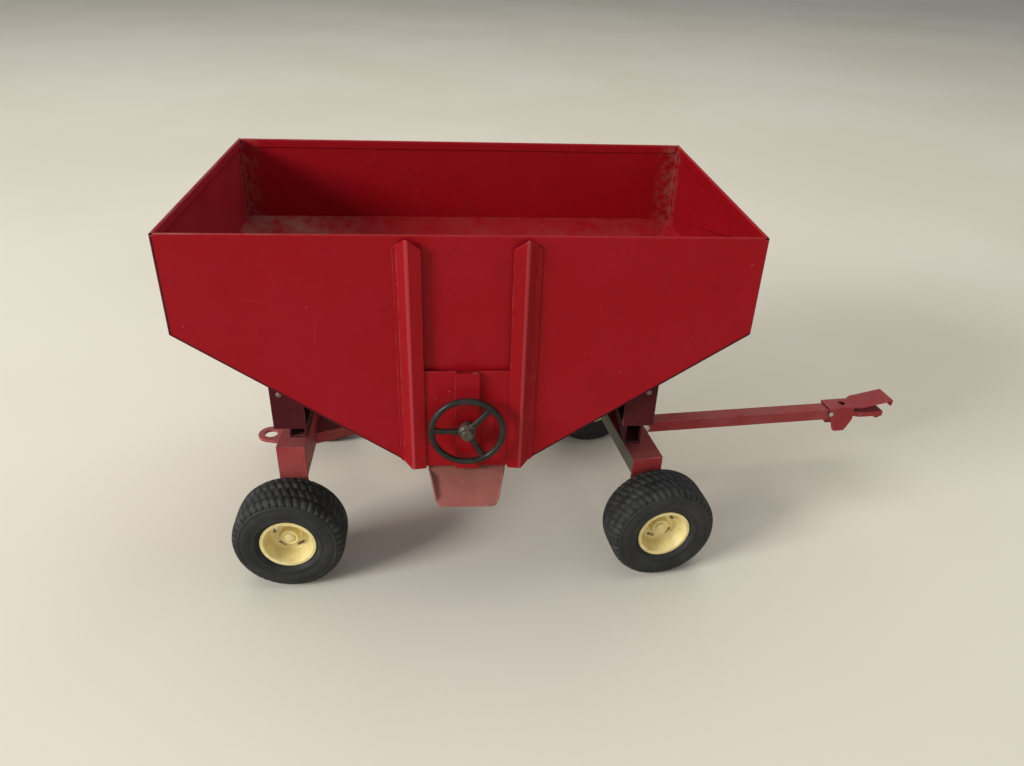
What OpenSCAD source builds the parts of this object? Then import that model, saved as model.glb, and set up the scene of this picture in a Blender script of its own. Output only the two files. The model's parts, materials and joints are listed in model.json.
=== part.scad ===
// Toy gravity wagon: a sheet-metal grain hopper with a rack-and-pinion discharge gate,
// carried on two legs over a four-wheel running gear with a steered front axle.
// Frame: +X towards the tongue, +Y away from the discharge side, +Z up.
// Origin: on the ground, midway between the axles, on the centre line.

/* [Hopper] */
// Length of the hopper, end wall to end wall
hopper_l = 228.6; // [190:0.1:275]
// Width of the hopper, discharge panel to back wall
hopper_w = 140.8; // [130:0.1:170]
// Height of the hopper rim above the ground
rim_h = 174.5; // [168:0.1:205]
// Height of the upright band below the rim
band_h = 41; // [30:0.5:48]
// Height of the discharge panel's bottom edge above the ground
outlet_h = 70.7; // [68:0.1:74]
// Length of the discharge panel's bottom edge
outlet_l = 46.2; // [42:0.1:60]
// Thickness of the hopper sheet
sheet = 0.8; // [0.6:0.1:1.2]
// Depth of the folded hem round the rim
hem_d = 4; // [3:0.5:6]
// Width of the corner flanges
flange_w = 3.6; // [3:0.1:5]

/* [Discharge gate] */
// Width of the window in the discharge panel
window_w = 33; // [20:0.5:34]
// Height of the window in the discharge panel
window_h = 18.4; // [14:0.2:18.8]
// Width of the sliding gate
gate_w = 41; // [38:0.5:42]
// Height of the sliding gate
gate_h = 45.6; // [42:0.2:52]
// Sliding gap on each face of the gate
gate_gap = 0.25; // [0.2:0.01:0.35]
// Height of the cover plate's top edge above the ground
cover_top = 118.4; // [112:0.1:130]
// Height of the handwheel's shaft above the ground
shaft_h = 93.5; // [92:0.1:98]
// Diameter of the pinion's shaft
shaft_d = 2.4; // [2:0.1:2.6]
// Number of pinion teeth
pinion_teeth = 8; // [8:1:9]
// Module of the rack and pinion
gear_module = 0.5; // [0.45:0.01:0.52]

/* [Handwheel] */
// Outer diameter of the handwheel
wheel_d = 32; // [26:0.5:36]
// Thickness of the handwheel's rim
wheel_rim_d = 2.7; // [2:0.1:3.2]
// Distance from the discharge panel to the handwheel's rim
wheel_standoff = 8.2; // [7.5:0.1:11]

/* [Guide ribs] */
// Width of the slot between the ribs
rib_slot_w = 34.4; // [33:0.1:36]
// Distance between the two ridges
rib_ridge_w = 45.4; // [44:0.1:47]
// Distance between the outer feet
rib_foot_w = 56; // [54:0.1:60]
// Height of the ridge above the panel
rib_ridge_h = 3.8; // [3.8:0.1:6]

/* [Chute] */
// Slope of the chute below level
chute_slope = 39; // [30:1:45]
// Length of the chute along its slope
chute_len = 18.8; // [15:0.1:24]
// Width of the chute at the panel
chute_w = 33.8; // [30:0.1:36]
// Width of the chute at its lip
chute_lip_w = 25.8; // [20:0.1:32]

/* [Running gear] */
// Distance from the rear wheel centres to the kingpin
wheelbase = 162.8; // [150:0.1:175]
// Distance between the left and right wheel centres at the rear
rear_track = 118.6; // [116:0.1:130]
// Distance between the left and right wheel centres at the front
front_track = 116; // [115.5:0.1:130]
// Thickness of the axle and leg sheet
gear_sheet = 1; // [0.8:0.1:1.2]
// Height of the rear axle's top face above the ground
rear_axle_top = 64; // [60:0.1:68]
// Height of the front axle's top face above the ground
front_axle_top = 54.7; // [53:0.1:56]
// Width of the rear axle beam
rear_axle_w = 13; // [12:0.1:14]
// Width of the front axle beam
front_axle_w = 15.1; // [14:0.1:16]
// Distance of the front spindles ahead of the kingpin
spindle_lead = 3; // [0:0.1:3.4]
// Diameter of the kingpin
kingpin_d = 4.4; // [3.6:0.1:4.8]
// Angle to which the front axle is turned at rest
steer_angle = 8; // [-20:1:20]

/* [Wheels] */
// Outer diameter of a tyre
tyre_d = 51.2; // [46:0.1:54]
// Width of a tyre
tyre_w = 22.4; // [19:0.1:24]
// Diameter of the rim's barrel
rim_d = 24.6; // [23:0.1:27]
// Diameter of the wheel spindles
spindle_d = 3.4; // [2.6:0.1:4]

/* [Tongue] */
// Length of the tongue from its pin to the lower jaw's lip
tongue_len = 143; // [125:0.5:165]
// Width of the tongue
tongue_w = 7.3; // [6.8:0.1:8]
// Height of the tongue
tongue_h = 6.6; // [6:0.1:7]
// Slope of the tongue below level at rest
tongue_droop = 1.4; // [0:0.1:3]
// Radius of the eye in the rear hitch
hitch_eye_r = 3.2; // [2.6:0.1:3.6]

/* [Hidden] */
$fn = 48;

paint = [0.57, 0.07, 0.09];
dull_paint = [0.55, 0.22, 0.22];
black_plastic = [0.2, 0.17, 0.13];
rim_plastic = [0.85, 0.78, 0.5];
rubber = [0.16, 0.16, 0.15];
steel = [0.62, 0.6, 0.57];

eps = 0.01;
reach_past = 300;
run_gap = 0.3;
pin_gap = 0.05;

// Hopper shape
end_x = hopper_l / 2;
side_y = hopper_w / 2;
band_z = rim_h - band_h;
outlet_x = outlet_l / 2;
end_slope = atan((band_z - outlet_h) / (end_x - outlet_x));
floor_lift = 0.8;
back_slope = atan((band_z - outlet_h - floor_lift) / (hopper_w - sheet));
panel_inset = 0.5;
hem_t = 2 * sheet;
hem_clear = 0.2;
window_z = back_z(-side_y + sheet, sheet) - 0.02;

// Stack of the discharge gear, measured outwards from the discharge panel
gate_t = sheet;
gate_out = gate_gap + gate_t;
cover_in = gate_out + gate_gap;
cover_out = cover_in + sheet;
channel_in = 3.3;
channel_out = channel_in + sheet;
channel_x = 4.9;
gate_z = window_z - 0.5;
cover_z = outlet_h + 1.3;
cover_w = rib_slot_w + 3.2;

// Rack and pinion
gear_pitch = PI * gear_module;
pinion_r = gear_module * pinion_teeth / 2;
pinion_tip_r = pinion_r + 0.9 * gear_module;
pinion_root_r = pinion_r - 1.2 * gear_module;
tooth_half = 0.165 * gear_pitch;
tip_ease = 0.12;
root_ease = 0.14;
pinion_t = 1.5;
pinion_in = gate_out + run_gap;
rack_t = channel_in - gate_out - 0.45;
rack_back = channel_x - sheet - gate_gap;
rack_tip_x = pinion_r - 0.9 * gear_module;
rack_root_x = pinion_r + 1.2 * gear_module;

// Handwheel
hub_in = channel_out + run_gap;
hub_r = 2.9;
nub_r = 2.6;
nub_out = wheel_standoff + wheel_rim_d / 2 + 2.4;
shaft_out = wheel_standoff + wheel_rim_d / 2;
spoke_w = 2.3;
spoke_t = 1.7;
spoke_angles = [178, 48, -62];

// Legs
leg_in = wheelbase / 2 - 14;
leg_out = leg_in + 13.5;
leg_y = side_y - 4.4;
leg_z = 87.3;
bolster_w = 8.2;
rear_bolster_in = wheelbase / 2 - 8.1;
rear_bolster_y = 38;
front_bolster_y = 33;
rivet_r = 1.2;
rivet_proud = 0.7;
axle_rivet_y = 22;

// Axles
axle_z = tyre_d / 2;
front_x = wheelbase / 2;
rear_x = -wheelbase / 2;
rear_axle_x = rear_x + 1.3;
rear_axle_y = 46;
rear_axle_z = 47.4;
front_axle_back = -8.3;
front_axle_y = 45.7;
front_axle_z = 46.5;
front_foot_z = front_axle_top + run_gap;
spindle_r = spindle_d / 2;
end_plate_r = 6;
kingpin_r = kingpin_d / 2;
kingpin_head_r = 2.9;
kingpin_foot_r = 3.2;
tab_t = 1.2;
tab_z = front_foot_z + gear_sheet;

// Reach
reach_z = front_axle_z;
reach_h = 6;
reach_y = 5;
reach_front = front_x - 18;
reach_flare = [[rear_axle_x + rear_axle_w / 2, 18], [rear_x + 26.4, 9.6], [rear_x + 37.4, reach_y]];

// Wheels
tyre_r = tyre_d / 2;
tyre_half = tyre_w / 2;
rim_r = rim_d / 2;
rim_half = tyre_half - 2.7;
hub_outer_r = 4.2;
hub_front = 4;
slot_count = 5;
slot_ring_r = 7.2;
slot_l = 4.2;
slot_w = 1.5;
slot_first = 18;
front_slot_turn = 9;
hub_gap = 0.4;
rear_hub = rear_track / 2 - rear_axle_y;
front_hub = front_track / 2 - front_axle_y;

// Tongue, in its own frame at the pin
tongue_x = 14;
tongue_z = 43.4;
tongue_pin_r = 1.6;
bracket_y = tongue_w / 2 + run_gap;
clip_pin_x = 110.2;
clip_pin_z = 0.6;
clip_pin_r = 0.9;
clip_t = 0.9;
clip_z = tongue_h / 2 + 0.45;
clip_half = tongue_w / 2 + run_gap + clip_t;
jaw_half = 5;
jaw_x = tongue_len;
hitch_z = 39.6;
hitch_t = 1.4;
hitch_eye_x = rear_x - 18.6;

// Height of the surface that lies d inside the outer face of an end slope
function end_z(x, d) = band_z + (abs(x) - end_x) * tan(end_slope) + d / cos(end_slope);
// Height of the surface that lies d inside the outer face of the back slope
function back_z(y, d) = band_z + (y - side_y) * tan(back_slope) + d / cos(back_slope);
function arc(cx, cy, r, from, to, steps = 8) =
    [for (i = [0:steps]) let(a = from + (to - from) * i / steps) [cx + r * cos(a), cy + r * sin(a)]];

// Places children on the discharge panel: x along it, y up, z outwards
module on_panel() {
    translate([0, -side_y, 0]) rotate([90, 0, 0]) children();
}

// Extrudes an outline drawn in X and Z along Y
module along_y(from, to) {
    translate([0, to, 0]) rotate([90, 0, 0]) linear_extrude(height = to - from) children();
}

// Extrudes an outline drawn in Y and Z along X
module along_x(from, to) {
    translate([from, 0, 0]) rotate([90, 0, 90]) linear_extrude(height = to - from) children();
}

// Outline of the hopper seen from the side, d inside its outer faces
module end_outline(d, top) {
    polygon([[end_x - d, top], [end_x - d, end_z(end_x - d, d)], [outlet_x, end_z(outlet_x, d)],
             [-outlet_x, end_z(outlet_x, d)], [-end_x + d, end_z(end_x - d, d)], [-end_x + d, top]]);
}

// Everything above the end slope surface at depth d, for one end
module over_end_slope(side, d) {
    along_y(-reach_past, reach_past)
        polygon([[0, reach_past], [side * reach_past, reach_past],
                 [side * reach_past, end_z(reach_past, d)], [0, end_z(0, d)]]);
}

// Everything above the back slope surface at depth d
module over_back_slope(d) {
    along_x(-reach_past, reach_past)
        polygon([[-reach_past, reach_past], [reach_past, reach_past],
                 [reach_past, back_z(reach_past, d)], [-reach_past, back_z(-reach_past, d)]]);
}

// A box given by its lower and upper corners
module span(low, high) {
    translate(low) cube(high - low);
}

// Turns children with the front axle about the kingpin
module steered() {
    translate([front_x, 0, 0]) rotate([0, 0, steer_angle]) children();
}

// Places children in the tongue's frame, at the tongue pin
module on_tongue() {
    steered() translate([tongue_x, 0, tongue_z]) rotate([0, tongue_droop, 0]) children();
}

// ---------- Hopper ----------

module discharge_panel() {
    color(paint) {
        difference() {
            along_y(-side_y, -side_y + sheet)
                end_outline(panel_inset, rim_h - sheet);
            span([-window_w / 2, -side_y - 1, window_z],
                 [window_w / 2, -side_y + 2, window_z + window_h]);
        }
        hem_x = end_x - hem_t - hem_clear;
        span([-hem_x, -side_y + sheet, rim_h - hem_d], [hem_x, -side_y + hem_t, rim_h - sheet]);
        translate([-hem_x, -side_y + sheet, rim_h - sheet])
            rotate([0, 90, 0]) cylinder(r = sheet, h = 2 * hem_x);
    }
}

// End wall with its sloping floor, hem and corner flange; side is 1 at the tongue end
module end_panel(side) {
    near = -side_y + sheet;
    wall = end_x - sheet;
    color(paint) {
        intersection() {
            over_back_slope(sheet);
            along_y(near, side_y)
                polygon([[side * end_x, rim_h - sheet], [side * end_x, band_z],
                         [side * outlet_x, end_z(outlet_x, 0)], [side * outlet_x, end_z(outlet_x, sheet)],
                         [side * wall, end_z(wall, sheet)], [side * wall, rim_h - sheet]]);
        }
        intersection() {
            over_back_slope(sheet);
            along_y(near, near + sheet) difference() {
                polygon([[side * wall, rim_h - hem_d - hem_clear], [side * wall, end_z(wall, sheet)],
                         [side * (outlet_x + 3), end_z(outlet_x + 3, sheet)],
                         [side * (outlet_x + 3), rim_h - hem_d - hem_clear]]);
                polygon([[side * (wall - flange_w), rim_h], [side * (wall - flange_w),
                         end_z(wall - flange_w, sheet + flange_w)],
                         [side * outlet_x, end_z(outlet_x, sheet + flange_w)], [side * outlet_x, rim_h]]);
            }
        }
        hem_in = min(side * (end_x - hem_t), side * wall);
        hem_out = max(side * (end_x - hem_t), side * wall);
        span([hem_in, near, rim_h - hem_d], [hem_out, side_y - sheet, rim_h - sheet]);
        translate([side * wall, near, rim_h - sheet])
            rotate([-90, 0, 0]) cylinder(r = sheet, h = side_y - near);
    }
}

module back_panel() {
    wall_x = end_x - sheet;
    hem_x = end_x - hem_t - hem_clear;
    inner_y = side_y - sheet;
    color(paint) {
        along_x(-wall_x, wall_x)
            polygon([[side_y, rim_h - sheet], [side_y, band_z + sheet / 4], [inner_y, band_z + sheet / 4],
                     [inner_y, rim_h - sheet]]);
        intersection() {
            along_y(-side_y + sheet, side_y) end_outline(0, rim_h);
            along_x(-end_x - 1, end_x + 1)
                polygon([[-side_y, back_z(-side_y, 0)], [side_y, band_z], [side_y, back_z(side_y, sheet)],
                         [-side_y, back_z(-side_y, sheet)]]);
        }
        along_x(-hem_x, hem_x)
            polygon(concat([[side_y, rim_h - hem_d], [side_y, rim_h - sheet]],
                           arc(inner_y, rim_h - sheet, sheet, 10, 170, 12),
                           [[side_y - hem_t, rim_h - sheet], [side_y - hem_t, rim_h - hem_d]]));
        for (side = [-1, 1])
            translate([side * (wall_x - sheet / 2), 0, 0])
                span([-sheet / 2, side_y - flange_w, band_z + 4],
                     [sheet / 2, side_y - sheet / 2, rim_h - hem_d - hem_clear]);
    }
}

// ---------- Discharge gear ----------

// Folded guide rib over one edge of the gate; side is 1 at the tongue end
module guide_rib(side) {
    slot = rib_slot_w / 2;
    ridge = rib_ridge_w / 2;
    foot = rib_foot_w / 2;
    toe = 1.6;
    peak_z = rim_h - 0.4;
    shoulder_z = peak_z - 4;
    color(paint) intersection() {
        translate([0, -side_y, outlet_h]) linear_extrude(height = peak_z - outlet_h)
            polygon([[side * slot, -cover_out - sheet], [side * ridge, -rib_ridge_h],
                     [side * (foot - toe), -sheet], [side * foot, -sheet], [side * foot, 0],
                     [side * (foot - toe - 0.5), 0], [side * ridge, -rib_ridge_h + sheet * 1.15],
                     [side * slot, -cover_out]]);
        along_y(-side_y - 20, -side_y + 1)
            polygon([[side * slot, shoulder_z], [side * ridge, peak_z], [side * foot, shoulder_z],
                     [side * foot, end_z(foot, panel_inset)], [side * outlet_x, end_z(outlet_x, panel_inset)],
                     [side * slot, end_z(outlet_x, panel_inset)]]);
    }
}

// Fixed cover in front of the gate, with a raised channel that houses the rack and pinion
module gate_cover() {
    inner_x = channel_x - sheet;
    color(paint) on_panel() difference() {
        union() {
            translate([-cover_w / 2, cover_z, cover_in])
                cube([cover_w, cover_top - cover_z, sheet]);
            translate([-channel_x, cover_z, cover_in])
                cube([2 * channel_x, cover_top - cover_z, channel_out - cover_in]);
        }
        translate([-inner_x, cover_z - 1, cover_in - 1])
            cube([2 * inner_x, cover_top - cover_z + 2, channel_in - cover_in + 1]);
        translate([0, shaft_h, 0])
            cylinder(r = shaft_d / 2 + pin_gap, h = channel_out + 1);
    }
}

module sliding_gate() {
    color(paint) on_panel()
        translate([-gate_w / 2, gate_z, gate_gap]) cube([gate_w, gate_h, gate_t]);
}

// Toothed strip on the gate, beside the pinion
module gate_rack() {
    low = gate_z - shaft_h;
    high = low + gate_h;
    first = ceil((low + 1) / gear_pitch - 0.5);
    last = floor((high - 1) / gear_pitch - 0.5);
    flank = [[rack_root_x, -1], [rack_tip_x, -1], [rack_tip_x, 1], [rack_root_x, 1]];
    teeth = [for (i = [first:last]) for (p = flank)
             [p[0], (i + 0.5) * gear_pitch
                    + p[1] * (tooth_half + (p[0] == rack_tip_x ? -tip_ease : root_ease))]];
    color(steel) on_panel() translate([0, shaft_h, gate_out]) linear_extrude(height = rack_t)
        polygon(concat([[rack_root_x, low]], teeth,
                       [[rack_root_x, high], [rack_back, high], [rack_back, low]]));
}

module pinion_shaft() {
    color(steel) on_panel() translate([0, shaft_h, 0]) {
        translate([0, 0, pinion_in]) linear_extrude(height = pinion_t) {
            circle(r = pinion_root_r);
            for (i = [0:pinion_teeth - 1])
                rotate(i * 360 / pinion_teeth)
                    polygon([[pinion_root_r - 0.3, -tooth_half - root_ease],
                             [pinion_tip_r, -tooth_half + tip_ease], [pinion_tip_r, tooth_half - tip_ease],
                             [pinion_root_r - 0.3, tooth_half + root_ease]]);
        }
        translate([0, 0, pinion_in + pinion_t - eps])
            cylinder(r = shaft_d / 2, h = shaft_out - pinion_in - pinion_t);
    }
}

module handwheel() {
    ring_r = (wheel_d - wheel_rim_d) / 2;
    color(black_plastic) on_panel() translate([0, shaft_h, 0]) difference() {
        union() {
            translate([0, 0, wheel_standoff])
                rotate_extrude($fn = 72) translate([ring_r, 0]) circle(d = wheel_rim_d, $fn = 24);
            translate([0, 0, hub_in]) cylinder(r = hub_r, h = shaft_out - hub_in);
            translate([0, 0, shaft_out]) cylinder(r1 = nub_r, r2 = nub_r - 0.3, h = nub_out - shaft_out);
            for (a = spoke_angles)
                rotate([0, 0, a]) translate([hub_r - 1, -spoke_w / 2, wheel_standoff - spoke_t / 2])
                    cube([ring_r - hub_r + 1, spoke_w, spoke_t]);
        }
        translate([0, 0, hub_in - 1]) cylinder(r = shaft_d / 2, h = shaft_out - hub_in + 1);
    }
}

// Short spout under the window, with low side walls that taper towards its lip
module chute() {
    corner = 2.4;
    wall_h = 2.2;
    lead = 3;
    half = chute_w / 2;
    lip = chute_lip_w / 2;
    flare = (half - lip) / chute_len;
    color(dull_paint) intersection() {
        span([-reach_past, -reach_past, -reach_past], [reach_past, -side_y, reach_past]);
        translate([0, -side_y, outlet_h + 0.9]) rotate([chute_slope, 0, 0]) {
            translate([0, 0, -sheet]) linear_extrude(height = sheet)
                polygon(concat([[-half - flare * lead, lead], [half + flare * lead, lead]],
                               arc(lip - corner, -chute_len + corner, corner, 0, -90),
                               arc(-lip + corner, -chute_len + corner, corner, -90, -180)));
            intersection() {
                linear_extrude(height = wall_h + 1) for (side = [-1, 1])
                    polygon([[side * half, 0], [side * lip, -chute_len], [side * (lip - sheet), -chute_len],
                             [side * (half - sheet), 0]]);
                along_x(-half, half)
                    polygon([[-2, -eps], [-6, wall_h], [-chute_len + 4, wall_h * 0.7],
                             [-chute_len + corner, -eps]]);
            }
        }
    }
}

// ---------- Legs ----------

// Space taken by the hopper and everything above it, moved down by drop
module hopper_space(side, drop) {
    intersection() {
        over_end_slope(side, -drop);
        over_back_slope(-drop);
    }
}

// Sheet leg: a box under the hopper's slopes on a narrower bolster; the box follows the slopes
module leg(side, bolster_in, bolster_y, foot_z, pin_hole) {
    t = gear_sheet;
    color(paint) difference() {
        union() {
            difference() {
                on_side(side, [leg_in, -leg_y, leg_z], [leg_out, leg_y, rim_h]);
                hopper_space(side, 0);
                difference() {
                    on_side(side, [leg_in - 1, -leg_y + t, leg_z + t], [leg_out - t, leg_y - t, rim_h]);
                    hopper_space(side, t);
                }
            }
            on_side(side, [leg_out - t, -bolster_y, leg_z],
                    [max(leg_out, bolster_in + bolster_w), bolster_y, leg_z + t]);
            on_side(side, [bolster_in, -bolster_y, foot_z],
                    [bolster_in + t, bolster_y, leg_z + t / 2]);
            on_side(side, [bolster_in + bolster_w - t, -bolster_y, foot_z],
                    [bolster_in + bolster_w, bolster_y, leg_z + t / 2]);
            on_side(side, [bolster_in, -bolster_y, foot_z],
                    [bolster_in + bolster_w, bolster_y, foot_z + t]);
        }
        if (pin_hole > 0) {
            translate([front_x, 0, foot_z - 1]) cylinder(r = pin_hole, h = 3);
            span([bolster_in - 1, -reach_y, foot_z + t], [bolster_in + t + 1, reach_y, foot_z + t + tab_t]);
        }
    }
}

// A box given by its corners, mirrored to the rear when side is -1
module on_side(side, low, high) {
    mirror([side < 0 ? 1 : 0, 0, 0]) span(low, high);
}

module front_leg() {
    leg(1, front_x - bolster_w / 2, front_bolster_y, front_foot_z, kingpin_r);
}

module rear_leg() {
    leg(-1, rear_bolster_in, rear_bolster_y, rear_axle_top, 0);
}

// Rivets that close each corner of the legs, on both end plates
module leg_rivets() {
    rivet_x = leg_out - 3.9;
    near_z = end_z(rivet_x, 0) - 3.6;
    far_z = back_z(leg_y, 0) - 4.5;
    color(steel) for (side = [-1, 1]) {
        translate([side * rivet_x, -leg_y, near_z]) rotate([90, 0, 0]) rivet_head();
        translate([side * rivet_x, leg_y, far_z]) rotate([-90, 0, 0]) rivet_head();
    }
}

module rivet_head(r = rivet_r, proud = rivet_proud) {
    intersection() {
        cylinder(r = r, h = proud);
        translate([0, 0, proud - 1.6 * r]) sphere(r = 1.6 * r);
    }
}

// ---------- Axles and reach ----------

// Folded axle beam with an end plate down to each spindle; x runs across the beam
module axle_beam(back, front, half_y, top, bottom, spindle_x) {
    t = gear_sheet;
    difference() {
        union() {
            difference() {
                span([back, -half_y, bottom], [front, half_y, top]);
                span([back + t, -half_y - 1, bottom - 1], [front - t, half_y + 1, top - t]);
            }
            for (s = [-1, 1])
                along_y(min(s * half_y, s * (half_y - t)), max(s * half_y, s * (half_y - t)))
                    polygon(concat([[back, top], [back, axle_z]],
                                   arc(spindle_x, axle_z, min(end_plate_r, front - spindle_x + 1), 200, 340),
                                   [[front, axle_z], [front, top]]));
        }
        translate([spindle_x, half_y + 1, axle_z]) rotate([90, 0, 0])
            cylinder(r = spindle_r, h = 2 * half_y + 2);
    }
}

module rear_axle() {
    color(paint) translate([rear_x, 0, 0])
        axle_beam(rear_axle_x - rear_x - rear_axle_w / 2, rear_axle_x - rear_x + rear_axle_w / 2,
                  rear_axle_y, rear_axle_top, rear_axle_z, 0);
}

module front_axle() {
    color(paint) steered() difference() {
        axle_beam(front_axle_back, front_axle_back + front_axle_w, front_axle_y,
                  front_axle_top, front_axle_z, spindle_lead);
        translate([0, 0, front_axle_top - 3]) cylinder(r = kingpin_r + pin_gap, h = 5);
    }
}

// Rivets that hold the rear leg's foot to the rear axle
module rear_axle_rivets() {
    foot_top = rear_axle_top + gear_sheet;
    color(steel) for (s = [-1, 1]) translate([-rear_bolster_in - bolster_w / 2, s * axle_rivet_y, 0]) {
        translate([0, 0, foot_top]) rivet_head(2, 1);
        translate([0, 0, rear_axle_top - gear_sheet]) mirror([0, 0, 1]) rivet_head(2, 1);
    }
}

// Outline of the reach seen from above, set in by d
module reach_outline(d) {
    right = [for (p = reach_flare) [p[0], p[1] - d]];
    polygon(concat(right, [[reach_front - d, reach_y - d], [reach_front - d, -reach_y + d]],
                   [for (i = [len(right) - 1:-1:0]) [right[i][0], -right[i][1]]]));
}

// Folded reach pole from the rear axle to a tab over the front leg's foot
module reach() {
    t = gear_sheet;
    color(paint) difference() {
        union() {
            difference() {
                translate([0, 0, reach_z]) linear_extrude(height = reach_h) reach_outline(0);
                translate([0, 0, reach_z - 1]) linear_extrude(height = reach_h + 1 - t) reach_outline(t);
            }
            span([reach_front - t, -reach_y, reach_z], [reach_front, reach_y, tab_z + tab_t]);
            span([reach_front - t, -reach_y, tab_z], [front_x, reach_y, tab_z + tab_t]);
            translate([front_x, 0, tab_z]) intersection() {
                cylinder(r = reach_y, h = tab_t);
                span([-10, -reach_y, 0], [bolster_w / 2 - gear_sheet - run_gap, reach_y, tab_t]);
            }
        }
        translate([front_x, 0, tab_z - 1]) cylinder(r = kingpin_r, h = 4);
    }
}

module kingpin() {
    washer_bottom = front_axle_top - gear_sheet - run_gap - 0.8;
    color(steel) translate([front_x, 0, 0]) {
        translate([0, 0, washer_bottom - 1.2])
            cylinder(r = kingpin_r, h = tab_z + tab_t - washer_bottom + 1.2 + eps);
        translate([0, 0, tab_z + tab_t]) rivet_head(kingpin_head_r, 1.6);
        translate([0, 0, washer_bottom - 1.2]) cylinder(r = kingpin_foot_r, h = 1.2);
    }
}

module kingpin_washer() {
    washer_bottom = front_axle_top - gear_sheet - run_gap - 0.8;
    color(steel) translate([front_x, 0, washer_bottom]) difference() {
        cylinder(r = 4.6, h = 0.8);
        translate([0, 0, -1]) cylinder(r = kingpin_r, h = 3);
    }
}

// Eye plate behind the rear axle, folded up against the axle's rear face
module rear_hitch() {
    ring_r = hitch_eye_r + 3.3;
    face_x = rear_axle_x - rear_axle_w / 2;
    color(paint) difference() {
        union() {
            translate([0, 0, hitch_z]) {
                translate([hitch_eye_x, 0, 0]) cylinder(r = ring_r, h = hitch_t);
                linear_extrude(height = hitch_t)
                    polygon([[hitch_eye_x - 2, ring_r * 0.95], [hitch_eye_x - 2, -ring_r * 0.95],
                             [face_x, -10], [face_x, 10]]);
            }
            span([face_x - hitch_t, -10, hitch_z], [face_x, 10, rear_axle_z + 7]);
        }
        translate([hitch_eye_x, 0, hitch_z - 1]) cylinder(r = hitch_eye_r, h = hitch_t + 2);
    }
}

// ---------- Tongue and hitch ----------

// Folded bracket on the front axle that carries the tongue pin
module tongue_bracket() {
    t = gear_sheet;
    face_x = front_axle_back + front_axle_w;
    ear_h = 3.2;
    color(paint) steered() difference() {
        union() {
            span([face_x, -bracket_y - t, tongue_z - ear_h], [face_x + t, bracket_y + t, front_axle_top - 1]);
            for (s = [-1, 1])
                along_y(min(s * bracket_y, s * (bracket_y + t)), max(s * bracket_y, s * (bracket_y + t)))
                    polygon(concat([[face_x, tongue_z - ear_h]],
                                   arc(tongue_x, tongue_z, ear_h, -90, 90, 12),
                                   [[face_x, tongue_z + ear_h + 4]]));
        }
        translate([tongue_x, 20, tongue_z]) rotate([90, 0, 0]) cylinder(r = tongue_pin_r, h = 40);
    }
}

module tongue_pin() {
    grip = bracket_y + gear_sheet;
    color(steel) steered() translate([tongue_x, 0, tongue_z]) {
        translate([0, grip, 0]) rotate([90, 0, 0]) cylinder(r = tongue_pin_r, h = 2 * grip);
        for (s = [-1, 1])
            translate([0, s * grip, 0]) rotate([-s * 90, 0, 0]) rivet_head(tongue_pin_r + 0.9, 0.9);
    }
}

// Folded tongue, open below, that ends in the hitch's lower jaw
module tongue() {
    t = gear_sheet;
    half = tongue_w / 2;
    top = tongue_h / 2;
    root = -3;
    neck = clip_pin_x + 9;
    flare_x = neck + 6.6;
    jaw_start = flare_x + 3;
    lip_z = -6.2;
    color(dull_paint) on_tongue() difference() {
        union() {
            difference() {
                span([root, -half, -top], [neck, half, top]);
                span([root - 1, -half + t, -top - 1], [neck - t, half - t, top - t]);
            }
            difference() {
                translate([0, 0, -2.4]) linear_extrude(height = 3)
                    polygon([[neck - 1, -half], [flare_x, -half], [jaw_start, -jaw_half], [jaw_x, -jaw_half],
                             [jaw_x, jaw_half], [jaw_start, jaw_half], [flare_x, half], [neck - 1, half]]);
                translate([0, 0, -3.4]) linear_extrude(height = 3)
                    polygon([[neck - 2, -half + t], [flare_x, -half + t], [jaw_start, -jaw_half + t],
                             [jaw_x - t, -jaw_half + t], [jaw_x - t, jaw_half - t], [jaw_start, jaw_half - t],
                             [flare_x, half - t], [neck - 2, half - t]]);
            }
            along_x(jaw_x - t, jaw_x)
                polygon(concat([[-jaw_half, 0.6], [-jaw_half, -2.4]],
                               arc(0, lip_z + 3.4, 3.4, 200, 340, 12),
                               [[jaw_half, -2.4], [jaw_half, 0.6]]));
        }
        translate([0, 20, 0]) rotate([90, 0, 0]) cylinder(r = tongue_pin_r + pin_gap, h = 40);
        translate([clip_pin_x, 20, clip_pin_z]) rotate([90, 0, 0])
            cylinder(r = clip_pin_r, h = 40);
    }
}

module hitch_clip_pin() {
    color(steel) on_tongue() translate([clip_pin_x, 0, clip_pin_z]) {
        translate([0, clip_half + 0.1, 0]) rotate([90, 0, 0])
            cylinder(r = clip_pin_r, h = 2 * clip_half + 0.2);
        for (s = [-1, 1])
            translate([0, s * (clip_half + 0.1), 0]) rotate([-s * 90, 0, 0])
                rivet_head(clip_pin_r + 0.6, 0.5);
    }
}

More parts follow.
